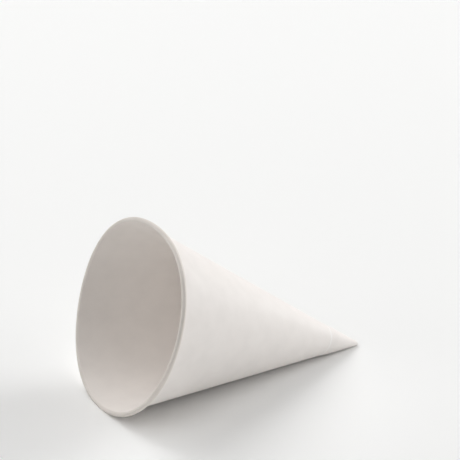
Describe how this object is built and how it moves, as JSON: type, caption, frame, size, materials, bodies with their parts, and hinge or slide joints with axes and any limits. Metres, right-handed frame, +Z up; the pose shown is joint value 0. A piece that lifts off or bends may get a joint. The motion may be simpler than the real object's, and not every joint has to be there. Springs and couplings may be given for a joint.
{
  "type": "cone paper cup",
  "caption": "Conical drinking cup wound from one sheet of waxed white paper, with a rolled rim, a lapped seam and a closed tip, lying on its side.",
  "frame": {"origin": "on the surface that the cup lies on, below the middle of its box", "axes": "+Z up. +X from the mouth towards the tip, along the floor. The cup's axis lies in the XZ plane, with the mouth towards -X and tilted up by 19.5 degrees."},
  "size_m": [0.1028, 0.07, 0.0657],
  "materials": {
    "paper": "matte"
  },
  "bodies": {
    "root": {"cone_cup": "paper"}
  },
  "joints": []
}
